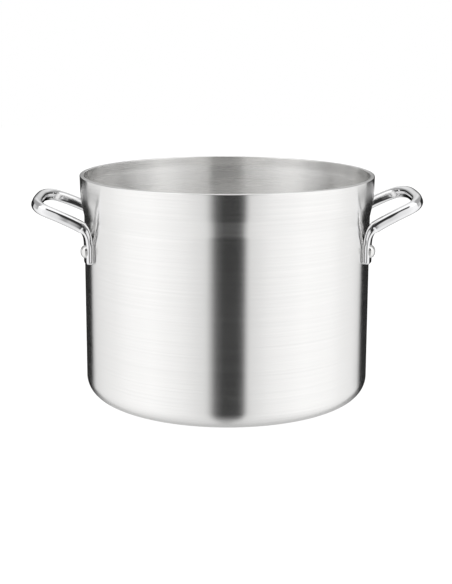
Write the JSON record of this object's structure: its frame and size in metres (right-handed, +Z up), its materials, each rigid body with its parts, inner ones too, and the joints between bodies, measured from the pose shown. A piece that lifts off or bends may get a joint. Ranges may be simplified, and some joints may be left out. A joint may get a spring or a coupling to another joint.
{
  "type": "stock pot",
  "caption": "Tall two-handled aluminium stock pot with a stepped rim band and riveted bent-bar loop handles, for boiling stock, soup and pasta.",
  "frame": {"origin": "centre of the base, on the surface that the pot stands on", "axes": "+Z up along the pot's axis, X through the two handles, -Y towards the front"},
  "size_m": [0.4024, 0.305, 0.232],
  "materials": {
    "pot": "fine circumferential brush lines, spun",
    "handle": "polished steel",
    "rivet": "smooth, lightly polished"
  },
  "bodies": {
    "root": {"pot_body": "pot", "handle_right": "handle", "handle_left": "handle", "rivet_right_front": "rivet", "rivet_right_rear": "rivet", "rivet_left_front": "rivet", "rivet_left_rear": "rivet"}
  },
  "joints": []
}
